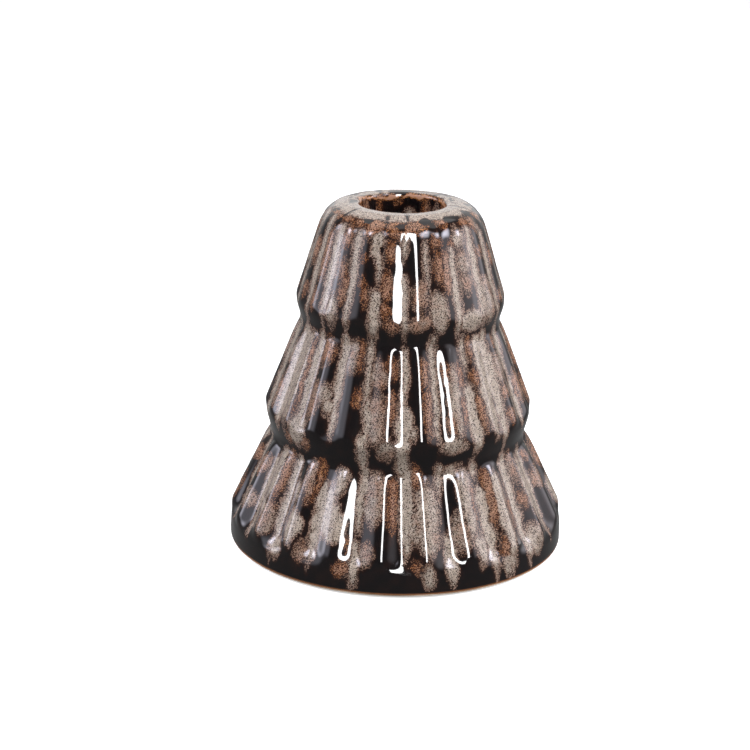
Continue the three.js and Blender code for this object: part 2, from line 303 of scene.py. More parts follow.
def rounded(corners, steps=CORNER_STEPS):
    """Points (radius, height) of a path through corners (radius, height, rounding)."""
    points = [np.array(corners[0][:2], float)]
    for before, corner, after in zip(corners, corners[1:], corners[2:]):
        here = np.array(corner[:2], float)
        rounding = corner[2] if len(corner) > 2 else 0
        if rounding == 0:
            points.append(here)
            continue
        start = here + rounding * unit(np.array(before[:2]) - here)
        end = here + rounding * unit(np.array(after[:2]) - here)
        for way in np.linspace(0, 1, steps + 1):
            points.append((1 - way) ** 2 * start + 2 * way * (1 - way) * here + way ** 2 * end)
    points.append(np.array(corners[-1][:2], float))
    return np.array(points)


def unit(vector):
    return vector / np.linalg.norm(vector)


def respaced(points, spacing):
    """The same path with its points evenly spaced, ends kept."""
    lengths = np.concatenate([[0], np.cumsum(np.linalg.norm(np.diff(points, axis=0), axis=1))])
    places = np.linspace(0, lengths[-1], max(2, round(lengths[-1] / spacing) + 1))
    return np.stack([np.interp(places, lengths, points[:, axis]) for axis in (0, 1)], 1)


def glazed_outline():
    """From the glaze's lower edge, up over the skirts, over the rim and down the socket to its floor."""
    corners = [(TOE_RADIUS, GLAZE_EDGE), (TOE_RADIUS, TOE_HEIGHT)]
    for index, (lip_radius, lip_height, top_radius, top_height) in enumerate(SKIRTS):
        last = index == len(SKIRTS) - 1
        corners.append((lip_radius, lip_height, LIP_ROUNDING))
        corners.append((top_radius, top_height, SHOULDER_ROUNDING if last else WAIST_ROUNDING))
    corners.append((RIM_EDGE_RADIUS, BODY_HEIGHT - RIM_EDGE_DROP, RIM_EDGE_ROUNDING))
    corners.append((CUP_SEAM_RADIUS, BODY_HEIGHT))
    outside = respaced(rounded(corners), GLAZED_ROW)
    socket = rounded([
        (CUP_SEAM_RADIUS, BODY_HEIGHT),
        (SOCKET_RADIUS, BODY_HEIGHT, SOCKET_EDGE_ROUNDING),
        (SOCKET_RADIUS, BODY_HEIGHT - SOCKET_DEPTH, SOCKET_FLOOR_ROUNDING),
        (AXIS_GAP, BODY_HEIGHT - SOCKET_DEPTH),
    ])
    return outside, respaced(socket, GLAZED_ROW)


def cup_hidden_outline():
    """From the axis under the cup, out and up its wall, to just under the seam on the rim."""
    underside = BODY_HEIGHT - SOCKET_DEPTH - CUP_FLOOR
    return rounded([
        (AXIS_GAP, underside),
        (CUP_RADIUS, underside, CUP_OUTER_ROUNDING),
        (CUP_RADIUS, BODY_HEIGHT - CUP_FLARE_DEPTH),
        (CUP_SEAM_RADIUS - CUP_SEAM_GAP, BODY_HEIGHT - CUP_SEAM_DEPTH),
    ])


def body_hidden_outline():
    """From the cup's seam down the inside of the body and round the foot ring to the glaze's edge."""
    (_, low_lip, low_radius, low_top), (_, middle_lip, middle_radius, middle_top), high = SKIRTS
    _, high_lip, high_radius, _ = high
    underside = BODY_HEIGHT - RIM_THICKNESS
    inside = [
        (CUP_SEAM_RADIUS, BODY_HEIGHT - BODY_SEAM_DEPTH),
        (CUP_SEAM_RADIUS, underside),
        (high_radius - WALL, underside),
        (middle_radius - WALL, high_lip),
        (middle_radius - WALL, middle_top),
        (low_radius - WALL, middle_lip),
        (low_radius - WALL, low_top),
        (LEDGE_RADIUS, low_lip + WALL),
        (LEDGE_RADIUS, DISC_RECESS + DISC_THICKNESS),
        (FOOT_RING_INNER_RADIUS, DISC_RECESS + DISC_THICKNESS),
    ]
    foot = rounded([
        (FOOT_RING_INNER_RADIUS, FOOT_RING_STRAIGHT),
        (FOOT_RING_INNER_RADIUS, 0, FOOT_ROUNDING),
        (FOOT_RADIUS, 0, FOOT_ROUNDING),
        (TOE_RADIUS - TOE_BEVEL_INSET, TOE_BEVEL_HEIGHT, TOE_BEVEL_ROUNDING),
        (TOE_RADIUS - GLAZE_LIP, GLAZE_EDGE - GLAZE_LIP_HEIGHT),
    ], FOOT_CORNER_STEPS)
    return np.concatenate([np.array(inside, float), foot])


# ---------------- meshes

def crest_fall(height):
    """Share of the radius by which a ridge's crest rounds off under a skirt's top."""
    fall = np.zeros_like(height)
    for (_, lip_height, _, top_height), (_, top_ratio) in zip(SKIRTS, FLUTE_DEPTH_RATIOS):
        from_top = np.clip((top_height - height) / CREST_ROUNDING, 0, 1)
        rounding = (1 - from_top) ** 2 * smoothstep(0, FLUTE_START, top_height - height)
        on_skirt = (height > lip_height) & (height < top_height)
        fall = np.where(on_skirt, top_ratio * rounding, fall)
    return fall


def fluting(radius, height, angle):
    """How far the flutes move the surface outwards. Angle in degrees from the front."""
    depth = np.zeros_like(height)
    floor = 0
    for skirt, (lip_ratio, top_ratio), flute_end in zip(SKIRTS, FLUTE_DEPTH_RATIOS, FLUTE_ENDS):
        _, lip_height, _, top_height = skirt
        flute_top = top_height + (SHOULDER_FLUTES if skirt is SKIRTS[-1] else 0)
        inside = (height > floor) & (height < flute_top)
        growing = smoothstep(0, FLUTE_START, flute_top - height)
        dying = smoothstep(-FLUTE_OVERHANG, flute_end - FLUTE_OVERHANG, height - lip_height)
        ratio = np.interp(height, (lip_height, top_height), (lip_ratio, top_ratio))
        depth = np.where(inside, growing * dying * ratio, depth)
        floor = top_height
    groove = FIRST_GROOVE + FLUTE_SHIFT + FLUTE_TWIST * (0.5 - height / BODY_HEIGHT)
    worn = smoothstep(*SHALLOW_HEIGHTS, height) * bell(angle, groove, SHALLOW_WIDTH)
    depth = depth * (1 - SHALLOW_SHARE * worn)
    wave = -np.cos(np.radians(FLUTES * (angle - groove)))
    crest = (1 + wave) / 2
    return radius * (depth * wave - crest * crest_fall(height))


def in_scene(name, data):
    """A new object of the scene's."""
    thing = bpy.data.objects.new(name, data)
    bpy.context.scene.collection.objects.link(thing)
    return thing


def mesh_object(name, points, closed, materials, row_materials, sharp_rows=(), axis=(0.0, 0.0)):
    """An object from a (rows, segments, 3) grid of points in millimetres above the foot plane.

    closed joins the last row to the first. Otherwise a fan of triangles round the axis closes each end.
    """
    rows, segments, _ = points.shape
    vertices = points.reshape(-1, 3) * MM
    vertices[:, 2] += FOOT_CLEARANCE * MM
    index = np.arange(rows * segments).reshape(rows, segments)
    quads = []
    material = []
    for row in range(rows if closed else rows - 1):
        upper = index[(row + 1) % rows]
        lower = index[row]
        quads.append(np.stack([lower, np.roll(lower, -1), np.roll(upper, -1), upper], 1))
        material += [row_materials(row)] * segments
    faces = np.concatenate(quads).tolist()
    vertices = vertices.tolist()
    if not closed:
        for row, flip in ((0, True), (rows - 1, False)):
            ring = index[row]
            height = np.mean([vertices[vertex][2] for vertex in ring])
            vertices.append([axis[0] * MM, axis[1] * MM, float(height)])
            tip = len(vertices) - 1
            for here, following in zip(ring.tolist(), np.roll(ring, -1).tolist()):
                faces.append([following, here, tip] if flip else [here, following, tip])
                material.append(row_materials(row))
    mesh = bpy.data.meshes.new(name)
    mesh.from_pydata(vertices, [], faces)
    for item in materials:
        mesh.materials.append(item)
    mesh.polygons.foreach_set("material_index", np.array(material, np.int32))
    mesh.polygons.foreach_set("use_smooth", np.ones(len(faces), bool))
    mark_sharp(mesh, index, sharp_rows)
    mesh.update()
    return in_scene(name, mesh)


def mark_sharp(mesh, index, sharp_rows):
    """Creases the edges that run round the given rows."""
    if not len(sharp_rows):
        return
    rings = np.full(len(mesh.vertices), -1)
    for row in sharp_rows:
        rings[index[row]] = row
    ends = np.zeros(len(mesh.edges) * 2, np.int32)
    mesh.edges.foreach_get("vertices", ends)
    first, second = rings[ends.reshape(-1, 2)].T
    sharp = (first == second) & (first >= 0)
    attribute = mesh.attributes.new("sharp_edge", "BOOLEAN", "EDGE")
    attribute.data.foreach_set("value", sharp)


def add_attribute(thing, name, values):
    """A float for each vertex; fan centres, which come last, take 0."""
    full = np.zeros(len(thing.data.vertices), np.float32)
    full[:values.size] = values.ravel()
    attribute = thing.data.attributes.new(name, "FLOAT", "POINT")
    attribute.data.foreach_set("value", full)


# ---------------- glaze map

def wander(points, size, seed):
    """Smooth noise of about -1 to 1 at each point of a (..., 3) array, with bumps of the given size."""
    shift = Vector([seed * step for step in SEED_STEPS])
    values = [noise.noise(Vector(point) + shift) for point in points.reshape(-1, 3) / size]
    return np.array(values).reshape(points.shape[:-1]) * NOISE_GAIN


def wandered(values, points, wanders):
    """The values with noise added, each wander being (amount, size, seed)."""
    for amount, size, seed in wanders:
        values = values + amount * wander(points, size, seed)
    return values


def back_runs():
    """Runs for the flutes that FRONT_RUNS leaves out, in the same mix of streams, blots and rust."""
    draw = random.Random(SEED)
    runs = []
    first = math.ceil(FRONT_EDGE)
    for flute in range(first, FLUTES - first + 1):
        for _, lip, _, top in SKIRTS:
            runs += groove_runs(draw, flute, lip, top)
            runs += ridge_runs(draw, flute + 0.5, lip, top)
    return runs


def groove_runs(draw, flute, lip, top):
    """A pale stream down a groove, and the tongue that it ends in."""
    start = top - draw.uniform(*GROOVE_STARTS)
    end = max(lip + draw.uniform(*GROOVE_ENDS), LOWEST_END)
    width = draw.uniform(*GROOVE_WIDTHS)
    middle = flute + draw.uniform(*GROOVE_PLACES)
    stream = (middle, start, end + TONGUE_BARE, width, draw.uniform(*GROOVE_WARMTHS))
    middle += draw.uniform(*TONGUE_PLACES)
    width *= draw.uniform(*TONGUE_WIDTHS)
    return [stream, (middle, end + TONGUE_HEIGHT, end, width, TONGUE_WARMTH)]


def ridge_runs(draw, flute, lip, top):
    """Blots down a ridge, with bare glaze between them."""
    runs = []
    height = top + draw.uniform(*RIDGE_STARTS)
    while height > lip + RIDGE_BARE:
        length = draw.uniform(*BLOT_HEIGHTS)
        if draw.random() < BLOT_CHANCE:
            side = flute + draw.uniform(*BLOT_PLACES)
            width = draw.uniform(*BLOT_WIDTHS)
            runs.append((side, height, height - length, width, draw.uniform(*BLOT_WARMTHS)))
        height -= length + draw.uniform(*BLOT_GAPS)
    return runs


def map_height(outline):
    """Height along the outline, or above TOP_START the length of the path from there."""
    steps = np.linalg.norm(np.diff(outline, axis=0), axis=1)
    along = np.concatenate([[0], np.cumsum(steps)])
    start = np.argmax(outline[:, 1] > TOP_START)
    return np.where(np.arange(len(outline)) < start, outline[:, 1], TOP_START + along - along[start])


def depth_in_run(flute, height, pitch, run):
    """Distance in mm inside the edge of a run, negative outside. pitch is the flute's width.

    A blot narrows alike towards both round ends, and a long stream narrows to a tip at its foot.
    """
    middle, top, bottom, half_width = run[:4]
    across = (flute - middle + FLUTES / 2) % FLUTES - FLUTES / 2
    rise = np.clip((height - bottom) / (top - bottom), 0, 1)
    slender = smoothstep(1, STREAM_SLENDERNESS, (top - bottom) / (2 * half_width * pitch))
    tip = BLOT_END + (STREAM_TIP - BLOT_END) * slender
    head = BLOT_END + (STREAM_TOP - BLOT_END) * slender
    ends = tip + (head - tip) * rise
    belly = ends + (1 - (tip + head) / 2) * 4 * rise * (1 - rise)
    half = half_width * pitch * belly
    radius = np.minimum(half_width * pitch, (top - bottom) / 2)
    beyond = np.maximum(np.abs(height - (top + bottom) / 2) - ((top - bottom) / 2 - radius), 0)
    return half - np.hypot(across * pitch, beyond * half / radius)


def glaze_map(points, radius, angle, height):
    """Thickness of the taupe glaze, from 0 to 1 with its edge at RUN_EDGE, and its warmth, at each point."""
    flute = wandered((angle - FIRST_GROOVE) / FLUTE_PITCH, points, SIDEWAYS_WANDER)
    pitch = np.maximum(2 * math.pi * radius / FLUTES, 1)
    shifted = wandered(height, points, UPRIGHT_WANDER)
    thickness = np.zeros_like(height)
    second = np.zeros_like(height)
    weight = np.zeros_like(height)
    warmth = np.zeros_like(height)
    for run in FRONT_RUNS + RIM_RUNS + tuple(back_runs()):
        value = run_thickness(depth_in_run(flute, shifted, pitch, run), run[4])
        second = np.maximum(second, np.minimum(thickness, value))
        thickness = np.maximum(thickness, value)
        share = np.exp(WARMTH_SHARPNESS * (value - RUN_EDGE))
        weight += share
        warmth += share * run[4]
    warmth /= weight
    meeting = smoothstep(RUN_EDGE, RUN_EDGE + JOINT_RISE, second)
    meeting = meeting * (1 - smoothstep(0, JOINT_WIDTH, thickness - second))
    shows = smoothstep(*JOINT_SHOWS, wandered(0, points, JOINT_WANDER))
    thickness = thickness - JOINT_DEPTH * meeting * shows
    thickness, warmth = rim_map(flute, shifted, pitch, thickness, warmth)
    return np.clip(thickness, 0, 1), warmth


def run_thickness(depth, warmth):
    """Thickness of a run at a depth in mm inside its edge: highest at its middle and 0 well outside."""
    peak = RUN_PEAK - WARM_LOSS * warmth
    inside = RUN_EDGE + (peak - RUN_EDGE) * smoothstep(-EDGE_OUT, EDGE_IN, depth)
    outside = RUN_EDGE + RUN_EDGE * np.maximum((depth + EDGE_OUT) / EDGE_FADE, -1)
    return np.where(depth > -EDGE_OUT, inside, outside)


def rim_map(flute, shifted, pitch, thickness, warmth):
    """The rim is mostly taupe, with bare spots, and the socket's edge is copper."""
    on_rim = smoothstep(*RIM_TAUPE_START, shifted) * (1 - smoothstep(*RIM_TAUPE_END, shifted))
    thickness = np.maximum(thickness, RIM_TAUPE * on_rim)
    warmth = warmth * (1 - on_rim)
    copper = bell(shifted, COPPER_HEIGHT, COPPER_WIDTH)
    thickness = np.maximum(thickness, COPPER_THICKNESS * copper)
    warmth = np.maximum(warmth, COPPER_WARMTH * copper)
    for gap in RIM_GAPS:
        depth = depth_in_run(flute, shifted, pitch, gap)
        thickness = np.minimum(thickness, RUN_EDGE - RUN_EDGE * np.clip(depth / GAP_EDGE, -1, 1))
    return thickness, warmth


# ---------------- materials

class Shader:
    """Short calls for one material's nodes. Coordinates are millimetres in the object's frame."""

    def __init__(self, name):
        self.material = bpy.data.materials.new(name)
        self.material.use_nodes = True
        self.tree = self.material.node_tree
        self.tree.nodes.clear()
        self.output = self.node("ShaderNodeOutputMaterial")
        self.surface = self.node("ShaderNodeBsdfPrincipled")
        self.link(self.surface.outputs[0], self.output.inputs["Surface"])
        place = self.node("ShaderNodeTexCoord")
        scaled = self.node("ShaderNodeVectorMath", operation="SCALE")
        scaled.inputs["Scale"].default_value = 1 / MM
        self.link(place.outputs["Object"], scaled.inputs[0])
        self.place = scaled.outputs[0]

    def node(self, kind, **settings):
        made = self.tree.nodes.new(kind)
        for key, value in settings.items():
            setattr(made, key, value)
        return made

    def link(self, source, target):
        self.tree.links.new(source, target)

    def put(self, value, target):
        if isinstance(value, bpy.types.NodeSocket):
            self.link(value, target)
        else:
            target.default_value = value

    def math(self, operation, first, second):
        made = self.node("ShaderNodeMath", operation=operation)
        self.put(first, made.inputs[0])
        self.put(second, made.inputs[1])
        return made.outputs[0]

    def between(self, value, low, high):
        """0 up to low, 1 from high on and smooth between. It falls where low is the greater."""
        made = self.node("ShaderNodeMapRange", interpolation_type="SMOOTHSTEP")
        self.put(value, made.inputs["Value"])
        self.put(low, made.inputs["From Min"])
        self.put(high, made.inputs["From Max"])
        return made.outputs[0]

    def mix(self, share, *colours):
        """The first of two colours where the share is 0, and the second where it is 1."""
        made = self.node("ShaderNodeMix", data_type="RGBA")
        self.put(share, made.inputs["Factor"])
        for name, colour in zip("AB", colours):
            self.put((*colour, 1) if isinstance(colour, tuple) else colour, made.inputs[name])
        return made.outputs["Result"]

    def swayed(self, value, by, amount):
        """A value moved up and down by a noise, which is 0.5 on average."""
        return self.math("ADD", value, self.math("MULTIPLY", self.math("SUBTRACT", by, 0.5), amount))

    def noise(self, scale, detail=1.0, roughness=0.5, distortion=0.0, stretch=None):
        """Noise with about scale bumps in a millimetre."""
        made = self.node("ShaderNodeTexNoise")
        made.inputs["Scale"].default_value = scale
        made.inputs["Detail"].default_value = detail
        made.inputs["Roughness"].default_value = roughness
        made.inputs["Distortion"].default_value = distortion
        place = self.place
        if stretch:
            squeezed = self.node("ShaderNodeVectorMath", operation="MULTIPLY")
            squeezed.inputs[1].default_value = stretch
            self.link(place, squeezed.inputs[0])
            place = squeezed.outputs[0]
        self.link(place, made.inputs["Vector"])
        return made.outputs["Fac"]

    def attribute(self, name):
        return self.node("ShaderNodeAttribute", attribute_name=name).outputs["Fac"]

    def bump(self, height, distance, strength=1.0, under=None):
        made = self.node("ShaderNodeBump")
        made.inputs["Strength"].default_value = strength
        made.inputs["Distance"].default_value = distance
        self.link(height, made.inputs["Height"])
        if under:
            self.link(under, made.inputs["Normal"])
        return made.outputs[0]

    def finish(self, colour, roughness, normal, **plain):
        self.put(colour, self.surface.inputs["Base Color"])
        self.put(roughness, self.surface.inputs["Roughness"])
        self.put(normal, self.surface.inputs["Normal"])
        for key, value in plain.items():
            self.surface.inputs[key.replace("_", " ")].default_value = value
        return self.material


# Colours of the glazes, the clay and the felt
BLACK = (0.0050, 0.0036, 0.0038)
WARM_BLACK = (0.0095, 0.0050, 0.0044)
STAIN = (0.045, 0.015, 0.007)
THIN_BROWNS = ((0.198, 0.124, 0.088), (0.290, 0.194, 0.148))
THICK_TAUPES = ((0.252, 0.202, 0.158), (0.388, 0.325, 0.265))
RUSTS = ((0.215, 0.082, 0.030), (0.330, 0.178, 0.112))
AMBER = (0.340, 0.135, 0.035)
TAUPE_SPECK = (0.026, 0.017, 0.013)
RUST_SPECK = (0.024, 0.009, 0.005)
GLAZE_LINE = (0.30, 0.13, 0.055)
# the clay's creams are paler than the clay itself: painted bounce light from the floor, which lights nothing
# here
CREAMS_WITH_PAINTED_BOUNCE = ((0.70, 0.59, 0.46), (0.80, 0.70, 0.57))
SAND = (0.45, 0.33, 0.22)
IRON_SPOT = (0.12, 0.06, 0.035)
FELTS = ((0.035, 0.026, 0.020), (0.13, 0.10, 0.08))

# Heights of the surfaces' relief, in metres
GLAZE_WAVES = 0.10 * MM
GLAZE_RELIEF = 0.015 * MM
CLAY_RELIEF = 0.12 * MM
FELT_RELIEF = 0.25 * MM


def glaze_material():
    """A dark glossy glaze, and over it the taupe one, ragged, where the glaze map has it."""
    coat = Shader("reactive_glaze")
    cloud = coat.noise(0.30, detail=3, roughness=0.6)
    flow = coat.noise(1.3, detail=3, roughness=0.6, distortion=0.2, stretch=(1.0, 1.0, 0.4))
    grain = coat.noise(3.4, distortion=0.6)
    pits = coat.noise(2.1)

    flowing = coat.swayed(coat.attribute("thickness"), flow, 0.28)
    ragged = coat.swayed(flowing, grain, 0.20)
    light = coat.between(ragged, 0.46, 0.53)
    heat = coat.swayed(coat.attribute("warmth"), cloud, 0.8)
    taupe = taupe_colour(coat, flowing, heat, cloud, flow, grain)
    colour = coat.mix(light, dark_colour(coat, ragged, cloud), taupe)
    colour = coat.mix(coat.attribute("glaze_line"), colour, GLAZE_LINE)

    roughness = coat.math("ADD", coat.math("MULTIPLY", light, 0.20), 0.12)
    relief = coat.math("SUBTRACT", coat.math("MULTIPLY", light, 0.35), coat.between(pits, 0.70, 0.78))
    waves = coat.bump(coat.noise(0.14, roughness=0.4), GLAZE_WAVES, 0.7)
    normal = coat.bump(relief, GLAZE_RELIEF, 0.6, waves)
    return coat.finish(
        colour, roughness, normal,
        Coat_Weight=1.0, Coat_Roughness=0.03, Specular_IOR_Level=0.05,
    )


def dark_colour(coat, ragged, cloud):
    """Near black, with a brown stain round the taupe."""
    dark = coat.mix(coat.between(cloud, 0.45, 0.70), BLACK, WARM_BLACK)
    stain = coat.math("MULTIPLY", coat.between(ragged, 0.30, 0.46), 0.30)
    return coat.mix(stain, dark, STAIN)


def taupe_colour(coat, flowing, heat, cloud, flow, grain):
    """Brown to pale taupe where cool and rust where warm, paler where thick, with dark specks."""
    rusty = coat.between(heat, 0.38, 0.80)
    solid = coat.between(flowing, 0.52, 0.82)
    brown = coat.mix(coat.between(cloud, 0.35, 0.65), *THIN_BROWNS)
    pale = coat.mix(coat.between(flow, 0.30, 0.65), *THICK_TAUPES)
    cool = coat.math("SUBTRACT", 1.0, coat.between(heat, 0.2, 0.7))
    taupe = coat.mix(coat.math("MULTIPLY", solid, cool), brown, pale)
    taupe = coat.mix(rusty, taupe, coat.mix(solid, *RUSTS))

    # amber where it is warmest, apart from the clean copper at the socket's edge
    spotted = coat.between(heat, 1.40, 1.20)
    amber = coat.math("MULTIPLY", coat.between(heat, 0.92, 1.10), coat.math("MULTIPLY", spotted, 0.8))
    taupe = coat.mix(amber, taupe, AMBER)

    # dark specks, close together where it is thin or warm
    blotted = coat.math("MULTIPLY", coat.between(heat, 0.10, 0.55), 0.06)
    limit = coat.math("ADD", 0.525, blotted)
    limit = coat.math("SUBTRACT", limit, coat.math("MULTIPLY", solid, 0.08))
    specks = coat.between(grain, limit, coat.math("SUBTRACT", limit, 0.05))
    specks = coat.math("MULTIPLY", specks, spotted)
    return coat.mix(specks, taupe, coat.mix(rusty, TAUPE_SPECK, RUST_SPECK))


def clay_material():
    """Bare fired stoneware: warm cream, partly the clay's own colour and partly painted bounce light from
    the floor, sandy, with iron spots and faint clouds of colour.
    """
    clay = Shader("bare_clay")
    grain = clay.noise(3.0, detail=4, roughness=0.7)
    cloud = clay.noise(0.12, detail=3, roughness=0.6)
    spots = clay.noise(0.9, detail=2)
    # the cream base carries painted bounce light from the floor as well as the clay's own colour
    colour = clay.mix(clay.between(cloud, 0.35, 0.7), *CREAMS_WITH_PAINTED_BOUNCE)
    colour = clay.mix(clay.math("MULTIPLY", clay.between(grain, 0.5, 0.75), 0.35), colour, SAND)
    colour = clay.mix(clay.between(spots, 0.71, 0.75), colour, IRON_SPOT)
    normal = clay.bump(grain, CLAY_RELIEF, 0.8)
    roughness = clay.math("ADD", clay.math("MULTIPLY", grain, 0.15), 0.72)
    return clay.finish(colour, roughness, normal)


def felt_material():
    """Pressed wool felt: matted fibres of a dark brown-grey."""
    felt = Shader("felt")
    fibre = {"detail": 4, "roughness": 0.8, "distortion": 1.5}
    across = felt.noise(2.2, **fibre, stretch=(1.0, 0.25, 1.0))
    along = felt.noise(2.2, **fibre, stretch=(0.25, 1.0, 1.0))
    fibres = felt.math("MAXIMUM", across, along)
    colour = felt.mix(felt.between(fibres, 0.45, 0.75), *FELTS)
    normal = felt.bump(fibres, FELT_RELIEF)
    return felt.finish(colour, 0.95, normal, Sheen_Weight=0.4, Sheen_Roughness=0.5)


# ---------------- pieces

def all_round(values, segments=SEGMENTS):
    """A value for each row, repeated for each point of the row."""
    return np.repeat(values[:, None], segments, 1)


def grid(outline):
    """Radius, height and angle in degrees from the front of each point of an outline's surface."""
    angles = np.linspace(-180, 180, SEGMENTS, endpoint=False)
    turn = np.repeat(angles[None, :], len(outline), 0)
    return all_round(outline[:, 0]), all_round(outline[:, 1]), turn


def glazed_skin(outline):
    """Points of the glazed surface with its flutes, and its glaze map."""
    radius, height, turn = grid(outline)
    fluted = radius + fluting(radius, height, turn)
    points = placed(fluted, height, turn)
    thickness, warmth = glaze_map(points, radius, turn, all_round(map_height(outline)))
    slope = np.gradient(outline, axis=0)
    normal = np.stack([slope[:, 1], -slope[:, 0]], 1) / np.linalg.norm(slope, axis=1)[:, None]
    lift = RUN_RELIEF * (smoothstep(*RELIEF_THICKNESSES, thickness) - 0.5)
    lift = wandered(lift, points, SURFACE_WANDER)
    fluted = fluted + all_round(normal[:, 0]) * lift
    height = height + all_round(normal[:, 1]) * lift
    return placed(fluted, height, turn), thickness, warmth


def placed(radius, height, turn):
    """Points from radius, height and the angle in degrees from the front, -Y, towards +X."""
    angle = np.radians(turn)
    return np.stack([radius * np.sin(angle), -radius * np.cos(angle), height], -1)


def plain_skin(outline):
    return placed(*grid(outline))


def make_holder(glaze, clay):
    """The fluted body and the candle cup, whose glaze runs on from one to the other over the rim."""
    outside, socket = glazed_outline()
    path = np.concatenate([outside, socket[1:]])
    skin, thickness, warmth = glazed_skin(path)
    seam = len(outside) - 1
    make_body(skin[:seam + 1], thickness[:seam + 1], warmth[:seam + 1], outside, glaze, clay)
    make_cup(skin[seam:], thickness[seam:], warmth[seam:], glaze, clay)


def make_body(skin, thickness, warmth, outside, glaze, clay):
    points = np.concatenate([skin, plain_skin(body_hidden_outline())])
    last = len(skin) - 1
    body = mesh_object(
        "glazed_body", points, True, [glaze, clay],
        lambda row: 0 if row < last else 1,
        sharp_rows=[0, last],
    )
    line = all_round(bell(outside[:, 1], GLAZE_EDGE, GLAZE_LINE_WIDTH))
    add_attribute(body, "thickness", thickness)
    add_attribute(body, "warmth", warmth)
    add_attribute(body, "glaze_line", line)
    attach(body, "root")
    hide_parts("fluted_body")


def make_cup(skin, thickness, warmth, glaze, clay):
    hidden = plain_skin(cup_hidden_outline())
    points = np.concatenate([hidden, skin])
    first = len(hidden)
    cup = mesh_object(
        "socket_cup", points, False, [glaze, clay],
        lambda row: 1 if row < first else 0,
        sharp_rows=[first],
    )
    blank = np.zeros(hidden.shape[:2])
    add_attribute(cup, "thickness", np.concatenate([blank, thickness]))
    add_attribute(cup, "warmth", np.concatenate([blank, warmth]))
    add_attribute(cup, "glaze_line", np.zeros(points.shape[:2]))
    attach(cup, "root")
    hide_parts("candle_cup")


def make_disc(clay):
    """The base disc, with turning rings, a soft-edged drain hole and a bead of slip at the foot ring."""
    low = DISC_RECESS
    top = DISC_RECESS + DISC_THICKNESS
    outer = FOOT_RING_INNER_RADIUS - DISC_GAP
    bottom = rounded([
        (DRAIN_RADIUS, low + DRAIN_EDGE_HEIGHT),
        (DRAIN_RADIUS, low, DRAIN_EDGE_ROUNDING),
        (outer - BEAD_WIDTH, low, BEAD_ROOT_ROUNDING),
        (outer - BEAD_CREST, low - BEAD_HEIGHT, BEAD_CREST_ROUNDING),
        (outer, low + BEAD_RISE),
    ])
    bottom = respaced(bottom, DISC_ROW)
    flat = (bottom[:, 1] < low + RING_LEVEL) & (bottom[:, 0] < outer - RING_MARGIN)
    bottom[:, 1] += flat * RING_HEIGHT * np.sin(bottom[:, 0] * 2 * math.pi / RING_SPACING)
    outline = np.concatenate([bottom, [(outer, top), (DRAIN_RADIUS, top)]])
    disc = mesh_object("foot_disc", plain_skin(outline), True, [clay], lambda row: 0)
    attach(disc, "root")
    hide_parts("base_disc")


def felt_points(radius, bottom, top, number):
    """Points of a pad round the axis. Each pad's number gives it fibres of its own."""
    path = respaced(rounded([
        (AXIS_GAP, bottom),
        (radius, bottom, PAD_ROUNDING),
        (radius - PAD_DRAFT, top, PAD_ROUNDING),
        (AXIS_GAP, top),
    ]), PAD_ROW)
    out = all_round(path[:, 0], PAD_SEGMENTS)
    height = all_round(path[:, 1], PAD_SEGMENTS)
    turn = np.linspace(0, 360, PAD_SEGMENTS, endpoint=False)
    fuzz = wander(placed(out, height, turn), FUZZ_SIZE, number + FUZZ_SEED)
    frayed = out * (1 + FRAY * fuzz * smoothstep(radius - FRAY_WIDTH, radius, out))
    height = height - PILE * np.abs(fuzz) * smoothstep(*PILE_HEIGHTS, height - bottom)
    return placed(frayed, height, turn)


def make_felt_pad(number, felt):
    """A punched round of felt with a frayed edge, in the place of its CAD pad."""
    node = f"felt_pad_{number}"
    low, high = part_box(node)
    axis = tuple((low + high).xy / 2 / MM)
    radius = (high.x - low.x) / 2 / MM
    points = felt_points(radius, low.z / MM - FOOT_CLEARANCE, high.z / MM - FOOT_CLEARANCE, number)
    points[..., :2] += axis
    pad = mesh_object(f"felt_foot_{number}", points, False, [felt], lambda row: 0, axis=axis)
    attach(pad, "root")
    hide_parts(node)


# ---------------- floor, and nodes for it, the lamps and the world

FLOOR_HALF = 3.0  # metres
FLOOR_GREY = 0.86
FLOOR_ROUGHNESS = 0.9
FLOOR_GLOWS = (0.25, 0.50)  # emission, the second as the camera sees it


def make_stage():
    """A white floor, which the camera sees and the object does not."""
    mesh = bpy.data.meshes.new("studio_floor")
    corners = [(x * FLOOR_HALF, y * FLOOR_HALF, 0) for x, y in ((-1, -1), (1, -1), (1, 1), (-1, 1))]
    mesh.from_pydata(corners, [], [(0, 1, 2, 3)])
    paint = bpy.data.materials.new("studio_floor")
    paint.use_nodes = True
    tree = paint.node_tree
    surface = tree.nodes["Principled BSDF"]
    surface.inputs["Base Color"].default_value = (FLOOR_GREY, FLOOR_GREY, FLOOR_GREY, 1)
    surface.inputs["Roughness"].default_value = FLOOR_ROUGHNESS
    surface.inputs["Emission Color"].default_value = (1, 1, 1, 1)
    sight = tree.nodes.new("ShaderNodeLightPath")
    glow = ramp(tree, sight.outputs["Is Camera Ray"], (0, 1), FLOOR_GLOWS)
    tree.links.new(glow, surface.inputs["Emission Strength"])
    mesh.materials.append(paint)
    floor = in_scene("studio_floor", mesh)
    floor.visible_glossy = False
    floor.visible_diffuse = False


def ramp(tree, value, limits, results=(0, 1), smooth=False):
    """A node that takes a value between the limits to one between the results."""
    made = tree.nodes.new("ShaderNodeMapRange")
    made.interpolation_type = "SMOOTHSTEP" if smooth else "LINEAR"
    tree.links.new(value, made.inputs["Value"])
    for name, number in zip(("From Min", "From Max", "To Min", "To Max"), (*limits, *results)):
        made.inputs[name].default_value = number
    return made.outputs[0]


